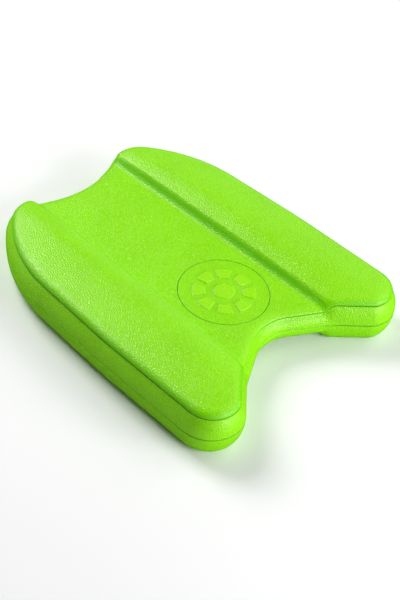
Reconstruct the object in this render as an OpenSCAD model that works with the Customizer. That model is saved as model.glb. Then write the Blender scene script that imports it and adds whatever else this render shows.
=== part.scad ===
// Foam kickboard float, lying flat.
// X runs across the board and Y along it: the deep notch end faces -Y and the shallow scoop faces +Y.
// Z = 0 is the surface that the board rests on.

/* [Board] */
// Widest width, at the lower edge seam
board_w = 250; // [220:1:300]
// Overall length, over the horns
board_l = 300; // [270:1:360]
// Height of the upper edge seam along the two side lobes
upper_seam_z = 39; // [34:1:46]
// Height of the lower edge seam, level all the way round
lower_seam_z = 21; // [17:1:24]

/* [Outline] */
// Depth of the shallow scoop at the far end
scoop_depth = 13; // [8:1:20]
// Depth of the notch at the near end
notch_depth = 52; // [42:1:60]
// Distance of a far horn from the middle line
far_horn_x = 69; // [64:1:78]
// Radius of the far horns
far_horn_r = 35; // [28:1:40]
// Radius of the shoulders
shoulder_r = 138; // [100:1:150]
// Outer radius of the near horns
near_horn_r = 30; // [22:1:34]
// Radius where a near horn turns into the notch
near_tip_r = 18; // [16:1:24]
// Radius of the bottom of the notch
notch_r = 40; // [30:1:50]

/* [Valley] */
// Half width of the valley at the near end, to the middle of the slope
valley_half_near = 54; // [50:1:60]
// Half width of the valley at the far end
valley_half_far = 50; // [45:1:56]
// How far the upper seam dips where it crosses the valley
seam_dip = 7; // [4:0.5:9]
// Width of the slope between the valley and a lobe
cove_w = 10; // [8:1:16]
// Depth of the matching recess under the board
recess_depth = 8; // [4:0.5:9]

/* [Edges] */
// How far the side wall leans in between the two seams
draft = 5.5; // [3:0.5:7]
// Rise of a side lobe above the upper seam
lobe_rise = 9; // [6:0.5:11]
// Width over which a domed lobe rolls down to the seam
lobe_roll_w = 50; // [30:1:56]
// Rise of the valley floor above the upper seam
floor_rise = 4; // [3:0.5:5]
// Width over which the valley floor rolls down to the seam
floor_roll_w = 9; // [6:1:10]
// Width of the rounding of the bottom edge
base_roll_w = 9; // [7:1:13]
// Size of the small bevels that make each seam a groove
seam_bevel = 0.8; // [0.5:0.1:1.2]

/* [Roundel] */
// Distance of the roundel's middle from the bottom of the notch
roundel_from_notch = 54; // [48:1:66]
// Radius of the inlaid disc
roundel_r = 39; // [32:0.5:40]
// Gap round the disc, seen as a thin circle
roundel_gap = 0.6; // [0.3:0.1:1]
// Thickness of the disc below the valley floor
roundel_t = 2; // [1.5:0.1:2.5]
// Height of the raised pattern on the disc
pattern_h = 0.8; // [0.4:0.1:1.2]
// Outer radius of the ring of raised blocks
pattern_outer_r = 27; // [22:0.5:30]
// Inner radius of the ring of raised blocks
pattern_inner_r = 16; // [12:0.5:19]
// Radius of the raised button in the middle
button_r = 9; // [5:0.5:11]
// Number of raised blocks in the ring
pattern_blocks = 8; // [5:1:12]
// Share of the ring that the blocks fill
block_share = 0.68; // [0.4:0.02:0.8]

/* [Mesh] */
// Columns from the middle line to the start of a slope
floor_columns = 5; // [3:1:8]
// Columns across a slope
cove_columns = 8; // [6:2:12]
// Columns from a slope to a corner
lobe_columns = 9; // [6:1:14]
// Rows along each long side
side_rows = 30; // [20:1:40]
// Rings round a rolled edge
roll_steps = 5; // [3:1:8]

/* [Hidden] */
$fn = 96;

lime = [0.53, 0.87, 0.17];
lime_deep = [0.42, 0.74, 0.12];
lime_base = [0.47, 0.80, 0.14];

half_w = board_w / 2;
half_l = board_l / 2;
floor_z = upper_seam_z + floor_rise - seam_dip;
roundel_y = notch_depth + roundel_from_notch - half_l;

// ---- plan outline: corners of half the board, far end to near end, as [x, y, radius] ----

// Scoop: half width of its flat bottom, and the radius beside it
scoop_half = 15;
scoop_r = 90;
// Corners that lie outside the rounded outline, past each end of the board
far_overshoot = 6;
near_overshoot = 8;
// Shoulder: inward from the widest width, and back from the far end
shoulder_in = 8;
shoulder_back = 48;
// Slight bend in the long side, and its radius
bend_in = 1;
bend_y = -24;
bend_r = 600;
// Tip of a near horn, where it turns into the notch
tip_in = 43;
tip_up = 2;
// Bend in the flank of the notch, and its radius
flank_in = 72;
flank_up = 28;
flank_r = 66;
// Half width of the bottom of the notch
notch_half = 11;
// Angle between points on the arcs
arc_step = 3;

half_corners = [
    [scoop_half, half_l - scoop_depth, scoop_r],
    [far_horn_x, half_l + far_overshoot, far_horn_r],
    [half_w - shoulder_in, half_l - shoulder_back, shoulder_r],
    [half_w - bend_in, bend_y, bend_r],
    [half_w, -half_l - near_overshoot, near_horn_r],
    [half_w - tip_in, -half_l + tip_up, near_tip_r],
    [half_w - flank_in, -half_l + flank_up, flank_r],
    [notch_half, -half_l + notch_depth, notch_r],
];

function mirrored(c) = [-c.x, c.y, c.z];
function flat(c) = [c.x, c.y];
function unit(v) = v / norm(v);
function mix(a, b, t) = a + (b - a) * t;
function ramp(x, a, b) = max(0, min(1, (x - a) / (b - a)));
function smooth(t) = t * t * (3 - 2 * t);

// Points along the arc that rounds corner c between its neighbours p and q
function corner_arc(p, c, q) =
    let (to_p = unit(flat(p) - flat(c)),
         to_q = unit(flat(q) - flat(c)),
         half = acos(to_p * to_q) / 2,
         start = flat(c) + to_p * c.z / tan(half),
         centre = flat(c) + unit(to_p + to_q) * c.z / sin(half),
         first = atan2(start.y - centre.y, start.x - centre.x),
         sweep = -sign(cross(to_p, to_q)) * (180 - 2 * half),
         steps = max(2, ceil(abs(sweep) / arc_step)))
    [for (i = [0:steps]) let (a = first + sweep * i / steps) centre + c.z * [cos(a), sin(a)]];

last_corner = len(half_corners) - 1;
half_path = [
    [0, half_corners[0].y],
    for (i = [0:last_corner])
        let (before = i == 0 ? mirrored(half_corners[0]) : half_corners[i - 1],
             after = i == last_corner ? mirrored(half_corners[last_corner]) : half_corners[i + 1])
        each corner_arc(before, half_corners[i], after),
    [0, half_corners[last_corner].y],
];

// The half outline is split at a far corner and a near corner into a far curve, a side and a near curve
far_corner_x = far_horn_x + 24;
near_corner_in = 9;
near_corner_x = half_w - near_corner_in;
widest_x = max([for (p = half_path) p.x]);
widest = [for (i = [0:len(half_path) - 1]) if (half_path[i].x == widest_x) i][0];
far_table = [for (i = [0:widest]) half_path[i]];
near_table = [for (i = [len(half_path) - 1:-1:widest]) half_path[i]];

// ---- heights ----

function valley_half(y) = mix(valley_half_near, valley_half_far, (y + half_l) / board_l);

// 0 on the valley floor and 1 on a lobe
function lobe_part(x, y) = smooth(ramp(abs(x) - valley_half(y), -cove_w / 2, cove_w / 2));

function seam_top_z(x, y) = upper_seam_z - seam_dip * (1 - lobe_part(x, y));
function under_z(x, y) = recess_depth * (1 - lobe_part(x, y));

// How far an elliptical edge of width w has dropped at distance d from the rim, as a share of its height
function roll_drop(d, w) = d >= w ? 0 : 1 - sqrt(1 - pow(1 - d / w, 2));

// Height of the deck at distance d inside the upper seam
function deck_z(x, y, d) =
    let (lobe = lobe_part(x, y),
         rise = mix(floor_rise, lobe_rise, lobe) - seam_bevel)
    seam_top_z(x, y) + seam_bevel + rise * (1 - roll_drop(d, mix(floor_roll_w, lobe_roll_w, lobe)));

// ---- stations round the rim: near curve, right side, far curve, left side ----

half_columns = floor_columns + cove_columns + lobe_columns;
columns = 2 * half_columns;
rim_count = 2 * (columns + side_rows);

// X of column i (0 in the middle) on an end whose slope is at `valley` and whose corner is at `corner`
function column_x(i, valley, corner) =
    let (foot = valley - cove_w / 2,
         crest = valley + cove_w / 2,
         in_lobe = (i - floor_columns - cove_columns) / lobe_columns)
    i <= floor_columns ? foot * i / floor_columns
    : i <= floor_columns + cove_columns ? mix(foot, crest, (i - floor_columns) / cove_columns)
    : mix(crest, corner, in_lobe);

function end_point(i, valley, corner, table) =
    let (x = column_x(abs(i), valley, corner)) [sign(i) * x, lookup(x, table)];

near_points = [for (i = [-half_columns:half_columns])
    end_point(i, valley_half_near, near_corner_x, near_table)];
far_points = [for (i = [-half_columns:half_columns])
    end_point(i, valley_half_far, far_corner_x, far_table)];

// Side stations are spaced evenly along the outline between the two corners
side_path = [
    near_points[columns],
    for (i = [len(half_path) - 1:-1:0])
        if (half_path[i].x > (i > widest ? near_corner_x : far_corner_x)) half_path[i],
    far_points[columns],
];
side_run = [for (i = 0, s = 0; i < len(side_path);
    s = s + (i < len(side_path) - 1 ? norm(side_path[i + 1] - side_path[i]) : 0), i = i + 1) s];
side_length = side_run[len(side_run) - 1];
side_x = [for (i = [0:len(side_path) - 1]) [side_run[i], side_path[i].x]];
side_y = [for (i = [0:len(side_path) - 1]) [side_run[i], side_path[i].y]];

function side_point(j) = let (s = side_length * j / side_rows) [lookup(s, side_x), lookup(s, side_y)];

rim = [
    for (i = [0:columns]) near_points[i],
    for (j = [1:side_rows - 1]) side_point(j),
    for (i = [columns:-1:0]) far_points[i],
    for (j = [side_rows - 1:-1:1]) let (p = side_point(j)) [-p.x, p.y],
];

// Inward step of rim station i: along Y across the valley, square to the rim round the lobes
turn_start = valley_half_near + cove_w / 2;
turn_w = 23;
function rim_normal(i) =
    let (d = rim[(i + 1) % rim_count] - rim[(i + rim_count - 1) % rim_count]) unit([d.y, -d.x]);

inward = [for (i = [0:rim_count - 1])
    let (n = rim_normal(i),
         square_part = smooth(ramp(abs(rim[i].x), turn_start, turn_start + turn_w)),
         along_y = [0, -1 / n.y])
    square_part >= 1 ? -n : mix(along_y, -n, square_part)];

function inset(i, d) = rim[i] + inward[i] * d;

// Distance from point p to the upper seam
seam_rim = [for (i = [0:rim_count - 1]) inset(i, draft)];
function segment_distance(p, a, b) =
    let (t = max(0, min(1, ((p - a) * (b - a)) / ((b - a) * (b - a)))))
    norm(p - mix(a, b, t));
function seam_distance(p) =
    min([for (i = [0:rim_count - 1]) segment_distance(p, seam_rim[i], seam_rim[(i + 1) % rim_count])]);

// ---- meshes: rings round the rim, closed by a flat face or by a grid of columns and rows ----

// Ring index of grid point (i, j) when it is on the edge of the grid
function on_edge(i, j) = i == 0 || i == columns || j == 0 || j == side_rows;

function edge_station(i, j) =
    j == 0 ? i
    : i == columns ? columns + j
    : j == side_rows ? 2 * columns + side_rows - i
    : rim_count - j;

function grid_index(i, j, ring, inner) =
    on_edge(i, j) ? ring + edge_station(i, j) : inner + (i - 1) * (side_rows - 1) + j - 1;

// Plan position of grid point (i, j) inside the ring at inset d
function grid_xy(i, j, d) =
    let (v = j / side_rows,
         side_start = columns - lobe_columns,
         right_pull = ramp(i, side_start, columns),
         left_pull = ramp(columns - i, side_start, columns),
         right_bulge = inset(columns + j, d) - mix(inset(columns, d), inset(columns + side_rows, d), v),
         left_bulge = [-right_bulge.x, right_bulge.y])
    mix(inset(i, d), inset(edge_station(i, side_rows), d), v)
        + right_pull * right_bulge + left_pull * left_bulge;

function grid_inner(d, height) = [
    for (i = [1:columns - 1]) for (j = [1:side_rows - 1])
        let (p = grid_xy(i, j, d)) [p.x, p.y, height(p.x, p.y)],
];

function ring(d, height) = [
    for (i = [0:rim_count - 1]) let (p = inset(i, d)) [p.x, p.y, height(p.x, p.y)],
];

function band_faces(low, high) = [
    for (i = [0:rim_count - 1])
        let (k = (i + 1) % rim_count)
        each [[low + i, high + i, high + k], [low + i, high + k, low + k]],
];

function grid_faces(ring_start, inner, facing_up) = [
    for (i = [0:columns - 1]) for (j = [0:side_rows - 1])
        let (a = grid_index(i, j, ring_start, inner),
             b = grid_index(i + 1, j, ring_start, inner),
             c = grid_index(i + 1, j + 1, ring_start, inner),
             d = grid_index(i, j + 1, ring_start, inner))
        each facing_up ? [[a, d, c], [a, c, b]] : [[a, c, d], [a, b, c]],
];

inner_count = (columns - 1) * (side_rows - 1);

// A solid from its rings, bottom to top, and the grids that close it; an empty grid means a flat face
module ringed_solid(rings, bottom_grid, top_grid) {
    ring_total = len(rings) * rim_count;
    last_ring = ring_total - rim_count;
    points = [for (r = rings) each r, each bottom_grid, each top_grid];
    bottom_faces = len(bottom_grid) == 0
        ? [[for (i = [0:rim_count - 1]) i]]
        : grid_faces(0, ring_total, false);
    top_faces = len(top_grid) == 0
        ? [[for (i = [rim_count - 1:-1:0]) last_ring + i]]
        : grid_faces(last_ring, ring_total + len(bottom_grid), true);
    bands = [for (r = [0:len(rings) - 2]) each band_faces(r * rim_count, (r + 1) * rim_count)];
    polyhedron(points, concat(bottom_faces, bands, top_faces), convexity = 8);
}

level_seam = function (x, y) lower_seam_z;
upper_seam = function (x, y) seam_top_z(x, y);
// The rings under a rolled deck edge stop short of the middle of the tightest corner
ring_margin = 1.5;
deck_inset = near_tip_r - ring_margin;
ring_w = deck_inset - draft;

// ---- sub-parts ----

// Bottom foam layer: rounded lower edge, two flat lobes to rest on and a recess between them
module base() {
    edge_rings = [
        for (k = [roll_steps:-1:0])
            let (d = base_roll_w * (1 - cos(90 * k / roll_steps)))
            ring(d, function (x, y)
                mix(under_z(x, y), lower_seam_z - seam_bevel, roll_drop(d, base_roll_w))),
    ];
    color(lime_base)
        ringed_solid(
            concat(edge_rings, [ring(seam_bevel, level_seam)]),
            grid_inner(base_roll_w, function (x, y) under_z(x, y)),
            []
        );
}

// Middle foam layer: the side band between the two seams, leaning in more steeply above its middle
lower_lean_share = 0.36;
module core() {
    mid_z = function (x, y) (lower_seam_z + seam_top_z(x, y)) / 2;
    color(lime_deep)
        ringed_solid(
            [
                ring(seam_bevel, level_seam),
                ring(0, function (x, y) lower_seam_z + seam_bevel),
                ring(draft * lower_lean_share, mid_z),
                ring(draft, function (x, y) seam_top_z(x, y) - seam_bevel),
                ring(draft + seam_bevel, upper_seam),
                ring(deck_inset, upper_seam),
            ],
            [],
            grid_inner(deck_inset, upper_seam)
        );
}

// Top foam layer before the roundel's seat is cut: rolled edge, domed lobes and the sunk valley
module deck_blank() {
    edge_rings = [
        for (k = [0:roll_steps])
            let (d = ring_w * (1 - cos(90 * k / roll_steps)))
            ring(draft + d, function (x, y) deck_z(x, y, d)),
    ];
    ringed_solid(
        concat([ring(deck_inset, upper_seam), ring(draft + seam_bevel, upper_seam)], edge_rings),
        grid_inner(deck_inset, upper_seam),
        grid_inner(deck_inset, function (x, y) deck_z(x, y, seam_distance([x, y])))
    );
}

// Top foam layer with the round seat cut into the valley floor
cut_over = 5;
module top_deck() {
    color(lime)
        difference() {
            deck_blank();
            translate([0, roundel_y, floor_z - roundel_t])
                cylinder(r = roundel_r + roundel_gap, h = roundel_t + cut_over);
        }
}

// One raised block of the pattern: a slice of a flat ring
module pattern_block() {
    half_angle = 180 / pattern_blocks * block_share;
    reach = pattern_outer_r / cos(half_angle);
    intersection() {
        difference() {
            cylinder(r = pattern_outer_r, h = pattern_h);
            translate([0, 0, -cut_over])
                cylinder(r = pattern_inner_r, h = pattern_h + 2 * cut_over);
        }
        linear_extrude(pattern_h)
            polygon([
                [0, 0],
                reach * [cos(half_angle), -sin(half_angle)],
                reach * [cos(half_angle), sin(half_angle)],
            ]);
    }
}

// Inlaid disc with a plain raised pattern: a middle button and a ring of blocks
module badge() {
    color(lime_deep)
        translate([0, roundel_y, floor_z - roundel_t]) {
            cylinder(r = roundel_r, h = roundel_t);
            translate([0, 0, roundel_t]) {
                cylinder(r = button_r, h = pattern_h);
                for (i = [0:pattern_blocks - 1])
                    rotate(360 / pattern_blocks * i)
                        pattern_block();
            }
        }
}

base();
core();
top_deck();
badge();
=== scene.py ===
import math

import bmesh
import bpy
import numpy as np
from mathutils import Matrix, Vector


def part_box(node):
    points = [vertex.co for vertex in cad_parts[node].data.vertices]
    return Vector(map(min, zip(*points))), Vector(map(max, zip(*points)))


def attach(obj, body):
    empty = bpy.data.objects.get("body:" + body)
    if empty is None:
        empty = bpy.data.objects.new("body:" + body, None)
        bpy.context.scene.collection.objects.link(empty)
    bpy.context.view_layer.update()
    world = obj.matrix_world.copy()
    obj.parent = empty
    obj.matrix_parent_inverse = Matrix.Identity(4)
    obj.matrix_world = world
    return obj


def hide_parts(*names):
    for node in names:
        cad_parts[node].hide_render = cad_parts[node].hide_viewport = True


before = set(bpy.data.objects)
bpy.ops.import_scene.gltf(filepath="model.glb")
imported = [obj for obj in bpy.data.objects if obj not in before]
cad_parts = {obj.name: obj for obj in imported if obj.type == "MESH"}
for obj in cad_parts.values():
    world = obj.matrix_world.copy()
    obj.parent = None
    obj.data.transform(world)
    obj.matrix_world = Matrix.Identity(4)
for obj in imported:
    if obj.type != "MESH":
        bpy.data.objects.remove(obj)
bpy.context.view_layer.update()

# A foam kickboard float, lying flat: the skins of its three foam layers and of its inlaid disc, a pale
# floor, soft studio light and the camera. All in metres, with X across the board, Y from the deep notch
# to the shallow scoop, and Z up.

MM = 0.001

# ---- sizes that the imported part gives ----

base_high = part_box("base")[1]
core_low, core_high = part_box("core")
deck_low, deck_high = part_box("top_deck")
badge_low, badge_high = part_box("badge")

HALF_W = round(base_high.x, 3)
HALF_L = round(base_high.y, 3)
LOWER_SEAM_Z = core_low.z
UPPER_SEAM_Z = core_high.z
SEAM_DIP = core_high.z - deck_low.z
LOBE_RISE = deck_high.z - core_high.z
DRAFT = base_high.x - deck_high.x
ROUNDEL_R = (badge_high.x - badge_low.x) / 2
ROUNDEL_Y = (badge_low.y + badge_high.y) / 2

# ---- sizes of the part's design, which its boxes don't show ----

VALLEY_HALF_NEAR = 54 * MM
VALLEY_HALF_FAR = 50 * MM
COVE_W = 10 * MM
RECESS_DEPTH = 8 * MM
FLOOR_RISE = 4 * MM
LOBE_ROLL_W = 50 * MM
FLOOR_ROLL_W = 9 * MM
BASE_ROLL_W = 9 * MM
SEAM_BEVEL = 0.8 * MM

PATTERN_H = 0.8 * MM
PATTERN_OUTER_R = 27 * MM
PATTERN_INNER_R = 16 * MM
BUTTON_R = 9 * MM
PATTERN_BLOCKS = 8
BLOCK_SHARE = 0.68
FLOOR_Z = badge_high.z - PATTERN_H

# Plan outline, as in the design: the scoop at the far end, the horns and shoulders, and the notch
SCOOP_DEPTH = 13 * MM
SCOOP_HALF = 15 * MM
SCOOP_R = 90 * MM
FAR_HORN_X = 69 * MM
FAR_HORN_R = 35 * MM
FAR_OVERSHOOT = 6 * MM
SHOULDER_IN = 8 * MM
SHOULDER_BACK = 48 * MM
SHOULDER_R = 138 * MM
BEND_IN = 1 * MM
BEND_Y = -24 * MM
BEND_R = 600 * MM
NEAR_OVERSHOOT = 8 * MM
NEAR_HORN_R = 30 * MM
TIP_IN = 43 * MM
TIP_UP = 2 * MM
TIP_R = 18 * MM
FLANK_IN = 72 * MM
FLANK_UP = 28 * MM
FLANK_R = 66 * MM
NOTCH_DEPTH = 52 * MM
NOTCH_HALF = 11 * MM
NOTCH_R = 40 * MM

# Corners of half the outline, from the scoop to the notch, each with the radius that rounds it
HALF_CORNERS = [
    (SCOOP_HALF, HALF_L - SCOOP_DEPTH, SCOOP_R),
    (FAR_HORN_X, HALF_L + FAR_OVERSHOOT, FAR_HORN_R),
    (HALF_W - SHOULDER_IN, HALF_L - SHOULDER_BACK, SHOULDER_R),
    (HALF_W - BEND_IN, BEND_Y, BEND_R),
    (HALF_W, -HALF_L - NEAR_OVERSHOOT, NEAR_HORN_R),
    (HALF_W - TIP_IN, -HALF_L + TIP_UP, TIP_R),
    (HALF_W - FLANK_IN, -HALF_L + FLANK_UP, FLANK_R),
    (NOTCH_HALF, -HALF_L + NOTCH_DEPTH, NOTCH_R),
]

# ---- softer shapes that only the skins have, within a few millimetres of the solids ----

# Share of the side wall's lean that it has halfway up the core
LOWER_LEAN_SHARE = 0.24
# Bank beside the valley, and the rounded crest above it, measured outward from the valley's half width
BANK_FOOT, BANK_TOP = -8 * MM, 2 * MM
BANK_POWER = 1.5
CREST_START, CREST_END = -2 * MM, 24 * MM
CREST_POWER = 0.6
# Share of a lobe's rise that comes with the crest, the rest comes with the bank
CREST_SHARE = 0.44
# Tight roll along the edge of a lobe, and its share of the lobe's rise; the rest is the wide dome
EDGE_ROLL_W = 7.5 * MM
EDGE_ROLL_SHARE = 0.48
# Gap round the disc, finer than in the solids
SEAT_GAP = 0.36 * MM
# Rounding of the lips on both sides of that gap
LIP_R = 0.5 * MM
# Softness of the edges of the raised pattern
PATTERN_SOFT = 0.35 * MM
# Gentle unevenness of the deck: height, usual wave length, and shortest wave and spread as shares of it
SWELL_H = 0.05 * MM
SWELL_LENGTH = 45 * MM
SWELL_SHORTEST, SWELL_SPREAD = 0.6, 0.9
SWELL_WAVES = 7
SWELL_SEED = 4
# It fades in over a span from the disc, in seat radii, and up to a distance from the upper seam
SWELL_CLEAR, SWELL_FULL = 1.1, 1.6
SWELL_EDGE_W = 20 * MM

# ---- how dark the skins are painted: 1 in a seam, 0 away from it, painted shade on the banks and lobe edges in between, below 0 for the painted sheen of the raised pattern ----

# Painted shade on the steep banks beside the valley
BANK_PAINTED_SHADE = 0.30
# Painted shade along the lobes' rolled edge
EDGE_PAINTED_SHADE = 0.30
LIP_SHADE = 0.2
GAP_SHADE = 0.7
# The upper seam in the valley and along the lobes
UPPER_SEAM_VALLEY, UPPER_SEAM_LOBE = 0.7, 1.0
# The lower seam round the notch end and along the sides, and where it fades, from the near end
LOWER_SEAM_NOTCH, LOWER_SEAM_SIDE = 0.75, 0.12
LOWER_FADE_START, LOWER_FADE_END = 18 * MM, 48 * MM
# How fast the dark of a seam fills its bevel
BEVEL_DARKENING = 2.4

# ---- how finely the skins are meshed ----

# Where the columns of the two ends stop and the rows of the long sides begin
FAR_CORNER_X = 93 * MM
NEAR_CORNER_X = HALF_W - 9 * MM
ARC_STEP = math.radians(0.5)
FLOOR_COLUMNS = 32
COVE_COLUMNS = 26
LOBE_COLUMNS = 42
HALF_COLUMNS = FLOOR_COLUMNS + COVE_COLUMNS + LOBE_COLUMNS
COLUMNS = 2 * HALF_COLUMNS
ROWS = 150
# The fine columns of a bank begin this far inside its foot
BANK_MARGIN = 0.5 * MM
# Distance along the rim over which the rings turn from along Y to square to the rim
TURN_W = 23 * MM
DECK_RING_W = 5 * MM
DECK_RINGS = 14
BASE_RINGS = 14
WALL_RINGS = 12
BEVEL_STEPS = 4
LIP_STEPS = 4
# Passes that round off the ridges of the deck's distance field
RELAX_PASSES = 60
# Margin of the square hole that the deck's grid leaves for the seat, and the rings that fill it
SEAT_MARGIN = 4 * MM
SEAT_STEPS = 7
DISC_STEPS = 480
DISC_RINGS = 96
DISC_CENTRE_R = 0.4 * MM


# ---- small helpers ----

def unit(v):
    return v / np.linalg.norm(v)


def mix(a, b, t):
    return a + (b - a) * t


def ramp(x, a, b):
    return np.clip((x - a) / (b - a), 0, 1)


def smooth(t):
    return t * t * (3 - 2 * t)


def run_lengths(path):
    """Distance along a path at each of its points."""
    steps = np.linalg.norm(np.diff(path, axis=0), axis=1)
    return np.concatenate([[0], np.cumsum(steps)])


def along(path, runs):
    """Points of a path at the given distances along it."""
    own = run_lengths(path)
    return np.column_stack([np.interp(runs, own, path[:, 0]), np.interp(runs, own, path[:, 1])])


def link(name, data):
    """A new object in the scene that shows the given data."""
    thing = bpy.data.objects.new(name, data)
    bpy.context.scene.collection.objects.link(thing)
    return thing


# ---- plan outline ----

def corner_arc(before, corner, after, radius):
    """Points along the arc that rounds a corner between its two neighbours."""
    to_before, to_after = unit(before - corner), unit(after - corner)
    half = math.acos(to_before @ to_after) / 2
    start = corner + to_before * radius / math.tan(half)
    centre = corner + unit(to_before + to_after) * radius / math.sin(half)
    first = math.atan2(start[1] - centre[1], start[0] - centre[0])
    side = to_before[0] * to_after[1] - to_before[1] * to_after[0]
    turn = -math.copysign(math.pi - 2 * half, side)
    angles = first + turn * np.linspace(0, 1, max(2, math.ceil(abs(turn) / ARC_STEP)) + 1)
    return centre + radius * np.column_stack([np.cos(angles), np.sin(angles)])


def half_outline():
    """The right half of the outline, from the middle of the scoop to the middle of the notch."""
    corners, radii = np.array(HALF_CORNERS)[:, :2], np.array(HALF_CORNERS)[:, 2]
    flip = np.array([-1, 1])
    around = np.vstack([corners[0] * flip, corners, corners[-1] * flip])
    arcs = [
        corner_arc(around[i], around[i + 1], around[i + 2], radius)
        for i, radius in enumerate(radii)
    ]
    return np.vstack([[[0, corners[0, 1]]], *arcs, [[0, corners[-1, 1]]]])


def end_columns(path, valley, corner_x):
    """Points across one end of the board, closest together on the banks beside the valley."""
    foot, crest = valley + BANK_FOOT - BANK_MARGIN, valley + COVE_W / 2
    floor_x = np.linspace(0, foot, FLOOR_COLUMNS, endpoint=False)
    cove_x = np.linspace(foot, crest, COVE_COLUMNS, endpoint=False)
    inner_x = np.concatenate([floor_x, cove_x])
    inner = np.column_stack([inner_x, np.interp(inner_x, path[:, 0], path[:, 1])])
    crest_run, corner_run = np.interp([crest, corner_x], path[:, 0], run_lengths(path))
    half = np.vstack([inner, along(path, np.linspace(crest_run, corner_run, LOBE_COLUMNS + 1))])
    return np.vstack([half[:0:-1] * [-1, 1], half])


outline = half_outline()
widest = int(np.argmax(outline[:, 0]))
far_path, near_path = outline[:widest + 1], outline[:widest - 1:-1]
near_end = end_columns(near_path, VALLEY_HALF_NEAR, NEAR_CORNER_X)
far_end = end_columns(far_path, VALLEY_HALF_FAR, FAR_CORNER_X)
side_path = np.vstack([
    near_end[-1:],
    near_path[near_path[:, 0] > NEAR_CORNER_X],
    far_path[far_path[:, 0] > FAR_CORNER_X][::-1],
    far_end[-1:],
])
right_side = along(side_path, np.linspace(0, run_lengths(side_path)[-1], ROWS + 1))
left_side = right_side * [-1, 1]
# The rim runs along the near end, up the right side, back along the far end and down the left side
rim = np.vstack([near_end, right_side[1:-1], far_end[::-1], left_side[-2:0:-1]])


def inward_steps():
    """Inward step of each rim station: along Y across the valley, square to the rim round the lobes."""
    across = np.roll(rim, -1, axis=0) - np.roll(rim, 1, axis=0)
    across /= np.linalg.norm(across, axis=1)[:, None]
    square = np.column_stack([-across[:, 1], across[:, 0]])
    turn_start = VALLEY_HALF_NEAR + COVE_W / 2
    share = smooth(ramp(np.abs(rim[:, 0]), turn_start, turn_start + TURN_W))[:, None]
    along_y = np.column_stack([np.zeros(len(rim)), 1 / np.where(share[:, 0] < 1, square[:, 1], 1)])
    return mix(along_y, square, share)


inward = inward_steps()


def inset(d):
    """The rim moved inward by d."""
    return rim + inward * d


def grid_plan(d):
    """Plan positions of the grid inside the ring at inset d, as [column, row]."""
    edge = inset(d)
    near = edge[:COLUMNS + 1]
    right = edge[COLUMNS:COLUMNS + ROWS + 1]
    far = edge[COLUMNS + ROWS:2 * COLUMNS + ROWS + 1][::-1]
    left = right * [-1, 1]
    v = np.linspace(0, 1, ROWS + 1)[:, None]
    straight = mix(near[:, None], far[:, None], v[None])
    pull = ramp(np.arange(COLUMNS + 1), COLUMNS - LOBE_COLUMNS, COLUMNS)[:, None, None]
    right_bulge = right - mix(near[-1], far[-1], v)
    left_bulge = left - mix(near[0], far[0], v)
    return straight + pull * right_bulge + pull[::-1] * left_bulge


# ---- heights ----

def past_valley(xy):
    """Distance across the board from the edge of the valley, positive on a lobe."""
    valley = mix(VALLEY_HALF_NEAR, VALLEY_HALF_FAR, (xy[..., 1] + HALF_L) / (2 * HALF_L))
    return np.abs(xy[..., 0]) - valley


def lobe_part(xy):
    """0 on the valley floor and 1 on a lobe."""
    return smooth(ramp(past_valley(xy), -COVE_W / 2, COVE_W / 2))


def upper_seam_z(xy):
    return UPPER_SEAM_Z - SEAM_DIP * (1 - lobe_part(xy))


def underside_z(xy):
    return RECESS_DEPTH * (1 - lobe_part(xy))


def deck_part(xy):
    """As lobe_part, for the deck's own surface: a steep bank with a soft foot and a broad rounded crest."""
    beyond = past_valley(xy)
    bank = smooth(ramp(beyond, BANK_FOOT, BANK_TOP) ** BANK_POWER)
    crest = smooth(ramp(beyond, CREST_START, CREST_END) ** CREST_POWER)
    return mix(bank, crest, CREST_SHARE)


def level(z):
    """A flat height, as a function of the plan position."""
    return lambda xy: np.full(xy.shape[:-1], z)


def roll_height(d, w):
    """Height of an elliptical edge of width w at distance d from the rim, as a share of its full height."""
    return np.sqrt(1 - (1 - np.clip(d / w, 0, 1)) ** 2)


def bank_painted_shade(xy):
    """Painted shade on the steep banks: a deeper green, most so halfway up the bank."""
    bank = deck_part(xy) / (1 - CREST_SHARE)
    return BANK_PAINTED_SHADE * np.clip(4 * bank * (1 - bank), 0, 1)


def deck_height(xy, d):
    """Height of the deck at distance d inside the upper seam."""
    lobe = deck_part(xy)
    edge = upper_seam_z(xy) + SEAM_BEVEL
    top = mix(UPPER_SEAM_Z - SEAM_DIP + FLOOR_RISE, UPPER_SEAM_Z + LOBE_RISE, lobe)
    rolled = roll_height(d, EDGE_ROLL_W)
    dome = 1 - (1 - np.clip(d / LOBE_ROLL_W, 0, 1)) ** 2
    lobe_roll = mix(dome, rolled, EDGE_ROLL_SHARE)
    return edge + (top - edge) * mix(roll_height(d, FLOOR_ROLL_W), lobe_roll, lobe)


def seam_distance(xy):
    """Distance from each point to the upper seam."""
    seam = inset(DRAFT)
    steps = np.roll(seam, -1, axis=0) - seam
    flat = xy.reshape(-1, 2)
    best = np.full(len(flat), np.inf)
    for start, step in zip(seam, steps):
        offset = flat - start
        t = np.clip(offset @ step / (step @ step), 0, 1)
        best = np.minimum(best, np.sum((offset - t[:, None] * step) ** 2, axis=1))
    return np.sqrt(best).reshape(xy.shape[:-1])


def relaxed(field, passes):
    """A grid field with its ridges rounded off, its edge kept."""
    for _ in range(passes):
        inner = field[2:, 1:-1] + field[:-2, 1:-1] + field[1:-1, 2:] + field[1:-1, :-2]
        field = field.copy()
        field[1:-1, 1:-1] = inner / 4
    return field


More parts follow.
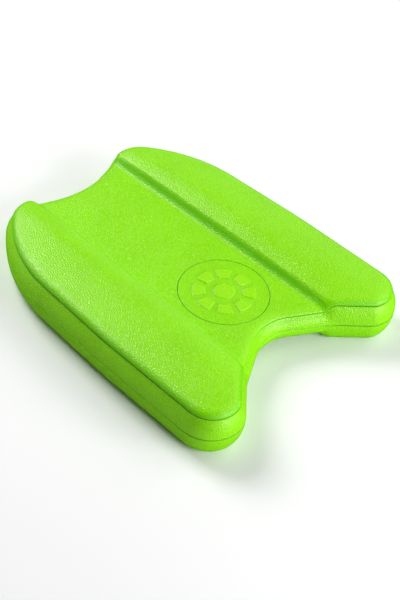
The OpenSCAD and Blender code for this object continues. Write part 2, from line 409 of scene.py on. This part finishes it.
def swell(xy):
    """Gentle unevenness of moulded foam: a few waves that cross each other."""
    waves = np.random.default_rng(SWELL_SEED).uniform(0, 1, (SWELL_WAVES, 3))
    total = np.zeros(xy.shape[:-1])
    for turn, stretch, phase in waves:
        angle = math.tau * turn
        k = math.tau / (SWELL_LENGTH * (SWELL_SHORTEST + SWELL_SPREAD * stretch))
        run = xy[..., 0] * math.cos(angle) + xy[..., 1] * math.sin(angle)
        total += np.sin(k * run + math.tau * phase)
    return total * SWELL_H / math.sqrt(len(waves))


# ---- meshes ----

class Skin:
    """The points, faces and shades of one mesh while it is put together."""

    def __init__(self):
        self.points, self.shades, self.faces, self.count = [], [], [], 0

    def add(self, points, shade=0.0):
        """Adds points, with one shade or one each, and returns the indices they get."""
        points = points.reshape(-1, 3)
        self.points.append(points)
        self.shades.append(np.broadcast_to(shade, len(points)))
        self.count += len(points)
        return np.arange(self.count - len(points), self.count)

    def quads(self, a, b, c, d):
        self.faces += np.column_stack([np.ravel(a), np.ravel(b), np.ravel(c), np.ravel(d)]).tolist()

    def band(self, low, high):
        """Faces between two closed rings."""
        self.quads(low, np.roll(low, -1), np.roll(high, -1), high)

    def rings(self, rings):
        """Adds closed rings, given as (points, shade), joins each to the one before, and returns them."""
        made = [self.add(points, shade) for points, shade in rings]
        for low, high in zip(made, made[1:]):
            self.band(low, high)
        return made

    def cap(self, ring):
        self.faces.append(ring.tolist())

    def grid(self, ring, heights, hole=None, shades=None):
        """Closes a rim ring with a grid of points, leaving out the cells inside hole."""
        inner_shades = 0.0 if shades is None else shades[1:-1, 1:-1].ravel()
        index = np.zeros((COLUMNS + 1, ROWS + 1), int)
        index[:, 0] = ring[:COLUMNS + 1]
        index[-1, :] = ring[COLUMNS:COLUMNS + ROWS + 1]
        index[:, -1] = ring[COLUMNS + ROWS:2 * COLUMNS + ROWS + 1][::-1]
        index[0, 1:] = ring[2 * COLUMNS + ROWS:][::-1]
        inner = self.add(heights[1:-1, 1:-1], inner_shades)
        index[1:-1, 1:-1] = inner.reshape(COLUMNS - 1, ROWS - 1)
        keep = np.ones((COLUMNS, ROWS), bool)
        if hole:
            keep[hole] = False
        corners = (index[:-1, :-1], index[1:, :-1], index[1:, 1:], index[:-1, 1:])
        self.quads(*(corner[keep] for corner in corners))
        return index

    def build(self, name):
        """Makes the Blender object, smooth shaded and with its faces turned outward."""
        mesh = bpy.data.meshes.new(name)
        mesh.from_pydata(np.vstack(self.points).tolist(), [], self.faces)
        mesh.attributes.new("shade", "FLOAT", "POINT").data.foreach_set(
            "value", np.concatenate(self.shades).astype(np.float32))
        work = bmesh.new()
        work.from_mesh(mesh)
        bmesh.ops.delete(work, geom=[v for v in work.verts if not v.link_faces], context="VERTS")
        bmesh.ops.recalc_face_normals(work, faces=work.faces)
        for face in work.faces:
            face.smooth = True
        work.to_mesh(mesh)
        work.free()
        return link(name, mesh)


def at_height(xy, z):
    """Plan points with their heights."""
    return np.concatenate([xy, np.broadcast_to(z, xy.shape[:-1])[..., None]], axis=-1)


def rim_ring(d, height, shade=0.0):
    """The ring at inset d, with height and shade as functions of the plan position."""
    xy = inset(d)
    return at_height(xy, height(xy)), shade(xy) if callable(shade) else shade


def upper_seam_shade(xy):
    """The upper seam is a dark line all round, a little fainter along the notch and the scoop."""
    return mix(UPPER_SEAM_VALLEY, UPPER_SEAM_LOBE, lobe_part(xy))


def lower_seam_shade(xy):
    """The lower seam is a dark line round the notch end, and hardly shows along the long sides."""
    from_near_end = xy[..., 1] + HALF_L
    fade = smooth(ramp(from_near_end, LOWER_FADE_START, LOWER_FADE_END))
    return mix(LOWER_SEAM_NOTCH, LOWER_SEAM_SIDE, fade)


def bevel(seam_height, seam_shade, edge_inset, side):
    """Rings of the small rounded edge beside a seam, from low to high. side is +1 above it, -1 below."""
    rings = []
    for k in range(BEVEL_STEPS + 1):
        angle = math.pi / 2 * k / BEVEL_STEPS
        d = edge_inset + SEAM_BEVEL * (1 - math.sin(angle))
        lift = side * SEAM_BEVEL * (1 - math.cos(angle))
        depth = min(1, BEVEL_DARKENING * (1 - k / BEVEL_STEPS))
        rings.append(rim_ring(d, lambda xy: seam_height(xy) + lift, lambda xy: depth * seam_shade(xy)))
    return rings if side > 0 else rings[::-1]


def make_base():
    """Bottom foam layer: two flat lobes, the recess between them and the rounded lower edge."""
    skin = Skin()
    top = level(LOWER_SEAM_Z - SEAM_BEVEL)
    rings = []
    for k in range(BASE_RINGS, 0, -1):
        d = BASE_ROLL_W * (1 - math.cos(math.pi / 2 * k / BASE_RINGS))
        share = 1 - roll_height(d, BASE_ROLL_W)
        rings.append(rim_ring(d, lambda xy: mix(underside_z(xy), top(xy), share)))
    rings += bevel(level(LOWER_SEAM_Z), lower_seam_shade, edge_inset=0, side=-1)
    made = skin.rings(rings)
    plan = grid_plan(BASE_ROLL_W)
    skin.grid(made[0], at_height(plan, underside_z(plan)))
    skin.cap(made[-1])
    return skin.build("base_skin")


def make_core():
    """Middle foam layer: the side band that leans in from the lower seam to the upper one."""
    skin = Skin()
    power = math.log(LOWER_LEAN_SHARE) / math.log(0.5)
    low = LOWER_SEAM_Z + SEAM_BEVEL
    rings = bevel(level(LOWER_SEAM_Z), lower_seam_shade, edge_inset=0, side=1)
    for k in range(1, WALL_RINGS):
        t = k / WALL_RINGS
        lean = DRAFT * t ** power
        rings.append(rim_ring(lean, lambda xy: mix(low, upper_seam_z(xy) - SEAM_BEVEL, t)))
    rings += bevel(upper_seam_z, upper_seam_shade, edge_inset=DRAFT, side=-1)
    made = skin.rings(rings)
    skin.cap(made[0])
    plan = grid_plan(DRAFT + SEAM_BEVEL)
    skin.grid(made[-1], at_height(plan, upper_seam_z(plan)))
    return skin.build("core_skin")


ROUNDEL_CENTRE = np.array([0, ROUNDEL_Y])
SEAT_R = ROUNDEL_R + SEAT_GAP


def circle(radius, angles, z):
    """Points of a circle round the middle of the disc."""
    ring = ROUNDEL_CENTRE + radius * np.column_stack([np.cos(angles), np.sin(angles)])
    return at_height(ring, z)


def lip(radius, angles, side):
    """Rings of a rounded lip, from the valley floor down to the gap. side is +1 outside the gap's wall."""
    rings = []
    for k in range(1, LIP_STEPS + 1):
        turn = math.pi / 2 * k / LIP_STEPS
        reach = side * LIP_R * (1 - math.sin(turn))
        drop = LIP_R * (1 - math.cos(turn))
        rings.append((circle(radius + reach, angles, FLOOR_Z - drop), LIP_SHADE))
    return rings


def seat_hole(plan):
    """Columns and rows of the grid that make room for the disc's seat."""
    reach = SEAT_R + SEAT_MARGIN
    middle = HALF_COLUMNS
    columns = int(np.count_nonzero(plan[middle:middle + FLOOR_COLUMNS, 0, 0] <= reach))
    y = plan[middle, :, 1]
    first = max(1, int(np.argmin(np.abs(y - (ROUNDEL_Y - reach)))))
    last = int(np.argmin(np.abs(y - (ROUNDEL_Y + reach))))
    return slice(middle - columns, middle + columns), slice(first, last)


def add_seat(skin, index, plan, hole):
    """Joins the square hole in the grid to the round seat, and closes the seat with its wall and floor."""
    (i0, i1), (j0, j1) = (hole[0].start, hole[0].stop), (hole[1].start, hole[1].stop)
    loop = (
        [(i, j0) for i in range(i0, i1)] + [(i1, j) for j in range(j0, j1)]
        + [(i, j1) for i in range(i1, i0, -1)] + [(i0, j) for j in range(j1, j0, -1)]
    )
    columns, rows = np.array(loop).T
    edge = plan[columns, rows]
    angles = np.arctan2(edge[:, 1] - ROUNDEL_Y, edge[:, 0])
    round_edge = circle(SEAT_R + LIP_R, angles, 0)[:, :2]
    last = index[columns, rows]
    for k in range(1, SEAT_STEPS + 1):
        xy = mix(edge, round_edge, k / SEAT_STEPS)
        ring = skin.add(at_height(xy, deck_height(xy, seam_distance(xy))))
        skin.band(last, ring)
        last = ring
    rings = lip(SEAT_R, angles, side=1)
    rings.append((circle(SEAT_R, angles, badge_low.z), GAP_SHADE))
    made = skin.rings(rings)
    skin.band(last, made[0])
    skin.cap(made[-1])


def deck_edge_painted_shade(d):
    """Painted shade of the deck's ring at distance d inside the seam: the lobes' rolled edge is painted a
    little deeper green, and the banks keep their painted shade.
    """
    edge = EDGE_PAINTED_SHADE * (1 - d / DECK_RING_W)
    return lambda xy: np.maximum(edge * lobe_part(xy), bank_painted_shade(xy))


def make_deck():
    """Top foam layer: rolled edge, domed lobes, the sunk valley and the seat of the disc."""
    skin = Skin()
    rings = bevel(upper_seam_z, upper_seam_shade, edge_inset=DRAFT, side=1)
    for k in range(1, DECK_RINGS + 1):
        d = DECK_RING_W * (1 - math.cos(math.pi / 2 * k / DECK_RINGS))
        # The rings carry the painted shade of the lobes' rolled edge and of the banks
        rings.append(rim_ring(DRAFT + d, lambda xy: deck_height(xy, d), deck_edge_painted_shade(d)))
    made = skin.rings(rings)
    under = grid_plan(DRAFT + SEAM_BEVEL)
    skin.grid(made[0], at_height(under, upper_seam_z(under)))
    plan = grid_plan(DRAFT + DECK_RING_W)
    distance = seam_distance(plan)
    distance[[0, -1], :] = DECK_RING_W
    distance[:, [0, -1]] = DECK_RING_W
    distance = relaxed(distance, RELAX_PASSES)
    from_disc = np.linalg.norm(plan - ROUNDEL_CENTRE, axis=-1)
    fade = smooth(ramp(distance, DECK_RING_W, SWELL_EDGE_W))
    fade *= smooth(ramp(from_disc, SWELL_CLEAR * SEAT_R, SWELL_FULL * SEAT_R))
    hole = seat_hole(plan)
    heights = deck_height(plan, distance) + fade * swell(plan)
    # The grid carries the painted shade of the banks
    index = skin.grid(made[-1], at_height(plan, heights), hole, bank_painted_shade(plan))
    add_seat(skin, index, plan, hole)
    return skin.build("top_deck_skin")


def soft_step(inside):
    """1 well inside an edge of the pattern and 0 well outside it."""
    return smooth(ramp(inside, -PATTERN_SOFT, PATTERN_SOFT))


def pattern_height(radius, angle):
    """Raised pattern of the disc: a button and a ring of blocks, with soft moulded edges."""
    pitch = math.tau / PATTERN_BLOCKS
    from_middle = np.abs((angle + pitch / 2) % pitch - pitch / 2)
    block_side = radius * (pitch * BLOCK_SHARE / 2 - from_middle)
    block = soft_step(block_side) * soft_step(PATTERN_OUTER_R - radius) * soft_step(radius - PATTERN_INNER_R)
    return np.maximum(soft_step(BUTTON_R - radius), block)


def make_badge():
    """Inlaid disc with its plain raised pattern."""
    skin = Skin()
    angles = np.linspace(0, math.tau, DISC_STEPS, endpoint=False)
    rings = []
    for radius in np.linspace(DISC_CENTRE_R, ROUNDEL_R - LIP_R, DISC_RINGS):
        raised = pattern_height(radius, angles)
        # The raised pattern carries a shade below 0, for its painted sheen
        rings.append((circle(radius, angles, FLOOR_Z + PATTERN_H * raised), -raised))
    rings += lip(ROUNDEL_R, angles, side=-1)
    rings.append((circle(ROUNDEL_R, angles, badge_low.z), GAP_SHADE))
    made = skin.rings(rings)
    skin.cap(made[0])
    skin.cap(made[-1])
    return skin.build("badge_skin")


# ---- material ----

LIME = (0.290, 0.830, 0.002)
# Pale lime of the random flecks, also the painted sheen on the raised pattern
LIME_PALE_FLECK_AND_SHEEN = (0.350, 0.860, 0.010)
# Deep green of the painted shade on the banks and the lobes' edge, and of a seam's fringe
LIME_PAINTED_SHADE_AND_SEAM_FRINGE = (0.165, 0.650, 0.001)
# Dark green of the seams, also the painted shade in the grain's creases
LIME_SEAM_AND_CREASE_SHADE = (0.035, 0.170, 0.001)

# The colour goes from lime to the deep green of the painted shade on banks and lobe edges, which also
# fringes the seams, at the first shade, and on to the seam's dark green at the second
DEEP_SHADE = 0.35
DARK_SHADE = 0.9

# Scales of the noises, per metre: 500 makes pebbles of about 2 mm
PEBBLE_SCALE = 500
WANDER_SCALE = 420
TOOTH_SCALE = 1500
PATCH_SCALE = 26
FLECK_SCALE = 300
# Share of a noise that is mixed into the place, so that the creases wander by up to about 1 mm
WANDER = 0.0011
# Distance from a crease, in pebble sizes, over which a pebble domes up
DOME_W = 0.42
DOME_RELIEF, TOOTH_RELIEF = 0.85, 0.12
BUMP_STRENGTH, BUMP_DISTANCE = 0.44, 0.0006

# Colour: the noise values between which patches and flecks fade in, and how much of each tint is used
PATCH_DARKENING = 0.96
PATCH_SPAN = (0.36, 0.64)
FLECK_SPAN, FLECK_TINT = (0.56, 0.72), 0.20
# Painted shade in the creases of the grain
CREASE_EDGE, CREASE_PAINTED_SHADE = 0.5, 0.16
# Painted sheen on the raised pattern: it is painted paler
RAISED_PAINTED_SHEEN = 0.6

# Roughness: its range over the patches, what a seam adds and what the raised pattern loses
ROUGH_SPAN = (0.3, 0.7)
ROUGH_LOW, ROUGH_HIGH = 0.31, 0.34
SEAM_ROUGH = 0.5
RAISED_SMOOTH = 0.06
IOR = 1.5
SHEEN_TINT = (1.0, 0.97, 0.78, 1)

# Offset of the noises from piece to piece, so that no two pieces share a pattern
SEED_STEP = (0.31, 0.17)


class Nodes:
    """A short way to add and join shader nodes. Inputs are given by name or by place on the node."""

    def __init__(self, tree):
        self.tree = tree
        tree.nodes.clear()

    def add(self, kind, inputs=None, **settings):
        node = self.tree.nodes.new(kind)
        for key, value in settings.items():
            setattr(node, key, value)
        for key, value in (inputs or {}).items():
            if isinstance(value, bpy.types.NodeSocket):
                self.tree.links.new(value, node.inputs[key])
            else:
                node.inputs[key].default_value = value
        return node

    def math(self, operation, a, b):
        return self.add("ShaderNodeMath", {0: a, 1: b}, operation=operation).outputs[0]

    def mix(self, factor, a, b):
        """Mixes colour b, given as red, green and blue, into the colour or socket a."""
        node = self.add("ShaderNodeMix", {0: factor, 6: a, 7: (*b, 1)}, data_type="RGBA")
        return node.outputs[2]

    def bend(self, factor, place, noise):
        """Mixes a little noise into a place."""
        return self.add("ShaderNodeMix", {0: factor, 4: place, 5: noise}, data_type="VECTOR").outputs[1]

    def span(self, value, low, high, to_low=0.0, to_high=1.0):
        """Follows a value from low to high with a soft curve from to_low to to_high."""
        inputs = {0: value, 1: low, 2: high, 3: to_low, 4: to_high}
        return self.add("ShaderNodeMapRange", inputs, interpolation_type="SMOOTHSTEP").outputs[0]

    def noise(self, place, scale, detail):
        return self.add("ShaderNodeTexNoise", {"Vector": place, "Scale": scale, "Detail": detail}).outputs


def foam_relief(n, place):
    """Leather-like grain: domed pebbles parted by creases. Returns the domes and the whole relief."""
    wander = n.noise(place, WANDER_SCALE, detail=2)["Color"]
    inputs = {"Vector": n.bend(WANDER, place, wander), "Scale": PEBBLE_SCALE}
    cells = n.add("ShaderNodeTexVoronoi", inputs, feature="DISTANCE_TO_EDGE")
    dome = n.span(cells.outputs["Distance"], 0.0, DOME_W)
    tooth = n.noise(place, TOOTH_SCALE, detail=3)[0]
    high, fine = n.math("MULTIPLY", dome, DOME_RELIEF), n.math("MULTIPLY", tooth, TOOTH_RELIEF)
    return dome, n.math("ADD", high, fine)


def foam_material(name, seed, grain=1.0):
    """Closed-cell foam with a moulded skin, darker in its seams and where painted shade is set on the mesh,
    with painted shade in the grain's creases and a painted sheen that makes it paler where it is raised.
    """
    material = bpy.data.materials.new(name)
    material.use_nodes = True
    n = Nodes(material.node_tree)
    object_place = n.add("ShaderNodeTexCoord").outputs["Object"]
    offset = (SEED_STEP[0] * seed, SEED_STEP[1] * seed, 0)
    place = n.add("ShaderNodeVectorMath", {0: object_place, 1: offset}, operation="ADD").outputs[0]
    dome, relief = foam_relief(n, place)
    patches = n.noise(place, PATCH_SCALE, detail=4)[0]
    flecks = n.noise(place, FLECK_SCALE, detail=3)[0]

    shade = n.add("ShaderNodeAttribute", attribute_name="shade").outputs["Fac"]
    seam_and_painted_shade = n.math("MAXIMUM", shade, 0.0)
    raised = n.math("MAXIMUM", n.math("MULTIPLY", shade, -1.0), 0.0)

    darker = (*(c * PATCH_DARKENING for c in LIME), 1)
    color = n.mix(n.span(patches, *PATCH_SPAN), darker, LIME)
    color = n.mix(n.math("MULTIPLY", n.span(flecks, *FLECK_SPAN), FLECK_TINT), color, LIME_PALE_FLECK_AND_SHEEN)
    # Painted shade in the grain's creases
    color = n.mix(n.math("MULTIPLY", n.span(dome, CREASE_EDGE, 0.0), CREASE_PAINTED_SHADE), color, LIME_SEAM_AND_CREASE_SHADE)
    # Painted sheen: the raised pattern is painted paler
    color = n.mix(n.math("MULTIPLY", raised, RAISED_PAINTED_SHEEN), color, LIME_PALE_FLECK_AND_SHEEN)
    # Painted shade on the banks and the lobes' edge, and the fringe of the seams, in deep green
    color = n.mix(n.span(seam_and_painted_shade, 0.0, DEEP_SHADE), color, LIME_PAINTED_SHADE_AND_SEAM_FRINGE)
    color = n.mix(n.span(seam_and_painted_shade, DEEP_SHADE, DARK_SHADE), color, LIME_SEAM_AND_CREASE_SHADE)

    patch_rough = n.span(patches, *ROUGH_SPAN, ROUGH_LOW, ROUGH_HIGH)
    seam_rough = n.span(seam_and_painted_shade, DEEP_SHADE, 1.0, 0.0, SEAM_ROUGH)
    rough = n.math("ADD", patch_rough, seam_rough)
    rough = n.math("SUBTRACT", rough, n.math("MULTIPLY", raised, RAISED_SMOOTH))
    inputs = {"Height": relief, "Strength": BUMP_STRENGTH * grain, "Distance": BUMP_DISTANCE}
    bump = n.add("ShaderNodeBump", inputs)
    surface = n.add("ShaderNodeBsdfPrincipled", {
        "Base Color": color, "Roughness": rough, "Normal": bump.outputs[0], "IOR": IOR,
        "Specular Tint": SHEEN_TINT,
    })
    n.add("ShaderNodeOutputMaterial", {"Surface": surface.outputs[0]})
    return material


# ---- the pieces ----

def finish_piece(piece, material, node):
    """Gives a skin its material, hangs it under the root body's empty and hides the part that it stands for.
    """
    piece.data.materials.append(material)
    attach(piece, "root")
    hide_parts(node)


finish_piece(make_base(), foam_material("foam_base", 1), "base")
finish_piece(make_core(), foam_material("foam_core", 2), "core")
finish_piece(make_deck(), foam_material("foam_deck", 3), "top_deck")
finish_piece(make_badge(), foam_material("foam_badge", 4, grain=0.8), "badge")


# ---- stage, light and camera ----

FLOOR_HALF = 4.0
FLOOR_WHITE = (0.94, 0.94, 0.94, 1)
FLOOR_ROUGH = 0.9
WORLD_WHITE = (1, 1, 1, 1)
WORLD_STRENGTH = 0.02
# Point on the axis of the board that the lights are aimed at, and their distance from it
LIGHT_TARGET = Vector((0, 0, 0.03))
LIGHT_DISTANCE = 1.5
CAMERA_TARGET = Vector((-25.3, -40.2, 39.0)) * MM
CAMERA_AZIMUTH, CAMERA_ELEVATION, CAMERA_ROLL = -51.2, 43.9, 7.9
CAMERA_DISTANCE = 1.075
CAMERA_LENS, CAMERA_SENSOR = 77.7, 36


def make_floor():
    """A large plain floor, left out of reflections."""
    corners = [(x * FLOOR_HALF, y * FLOOR_HALF, 0) for x, y in ((-1, -1), (1, -1), (1, 1), (-1, 1))]
    mesh = bpy.data.meshes.new("floor")
    mesh.from_pydata(corners, [], [(0, 1, 2, 3)])
    floor = link("floor", mesh)
    material = bpy.data.materials.new("floor_white")
    material.use_nodes = True
    n = Nodes(material.node_tree)
    surface = n.add("ShaderNodeBsdfPrincipled", {"Base Color": FLOOR_WHITE, "Roughness": FLOOR_ROUGH})
    n.add("ShaderNodeOutputMaterial", {"Surface": surface.outputs[0]})
    mesh.materials.append(material)
    floor.visible_glossy = False


def make_world():
    """A very faint white world, so that no shadow is quite black."""
    world = bpy.data.worlds.new("studio")
    world.use_nodes = True
    n = Nodes(world.node_tree)
    background = n.add("ShaderNodeBackground", {"Color": WORLD_WHITE, "Strength": WORLD_STRENGTH})
    n.add("ShaderNodeOutputWorld", {"Surface": background.outputs[0]})
    bpy.context.scene.world = world


def direction(azimuth, elevation):
    """Unit vector from the board towards an azimuth, in degrees from -Y towards +X, and an elevation."""
    a, e = math.radians(azimuth), math.radians(elevation)
    return Vector((math.sin(a) * math.cos(e), -math.cos(a) * math.cos(e), math.sin(e)))


def aim(thing, position, target, roll=0.0):
    """Places a light or the camera, looking at target, turned by roll about its line of sight."""
    back = (position - target).normalized()
    right = Vector((-back.y, back.x, 0)).normalized()
    up = back.cross(right)
    x = right * math.cos(roll) + up * math.sin(roll)
    y = -right * math.sin(roll) + up * math.cos(roll)
    turn = Matrix((x, y, back)).transposed().to_4x4()
    thing.matrix_world = Matrix.Translation(position) @ turn


def area_light(name, azimuth, elevation, width, height, power):
    """A soft box aimed at the middle of the board. Azimuth 0 is the notch end, and the power is in watts."""
    data = bpy.data.lights.new(name, "AREA")
    data.shape, data.size, data.size_y = "RECTANGLE", width, height
    data.energy = power
    aim(link(name, data), LIGHT_TARGET + direction(azimuth, elevation) * LIGHT_DISTANCE, LIGHT_TARGET)


def make_camera():
    """The camera at the photo's viewing angle."""
    data = bpy.data.cameras.new("camera")
    data.sensor_width = CAMERA_SENSOR
    data.lens = CAMERA_LENS
    camera = link("camera", data)
    position = CAMERA_TARGET + direction(CAMERA_AZIMUTH, CAMERA_ELEVATION) * CAMERA_DISTANCE
    aim(camera, position, CAMERA_TARGET, math.radians(CAMERA_ROLL))
    bpy.context.scene.camera = camera


make_floor()
make_world()
area_light("front", azimuth=10, elevation=20, width=1.2, height=0.8, power=23.5)
area_light("back", azimuth=182, elevation=43, width=0.75, height=0.75, power=19.5)
area_light("side", azimuth=65, elevation=45, width=1.2, height=0.9, power=7)
area_light("rim", azimuth=117, elevation=10, width=0.9, height=0.5, power=1.8)
area_light("far_left", azimuth=212, elevation=12, width=0.7, height=0.5, power=1.8)
make_camera()
bpy.context.scene.view_settings.view_transform = "Standard"
